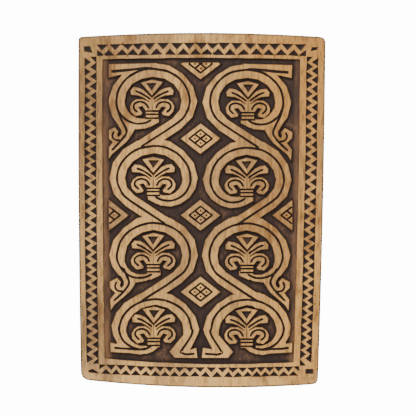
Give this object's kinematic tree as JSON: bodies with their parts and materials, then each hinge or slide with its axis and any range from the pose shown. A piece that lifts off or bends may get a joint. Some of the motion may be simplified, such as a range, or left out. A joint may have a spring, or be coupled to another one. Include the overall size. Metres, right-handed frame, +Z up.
{
  "type": "carved wooden wall panel",
  "caption": "Wooden wall sign carved in relief with climbing vines, palmettes and lozenges inside a chip-cut zigzag border, hung by a keyhole slot in its back.",
  "frame": {"origin": "middle of the flat back, where the panel lies on the wall", "axes": "+Z up, +X to the right as seen from the front, +Y from the carved face through the back into the wall"},
  "size_m": [0.2788, 0.02, 0.3999],
  "materials": {
    "stained_wood": "satin, with the sunk ground stained near-black"
  },
  "bodies": {
    "root": {"carved_board": "stained_wood"}
  },
  "joints": []
}
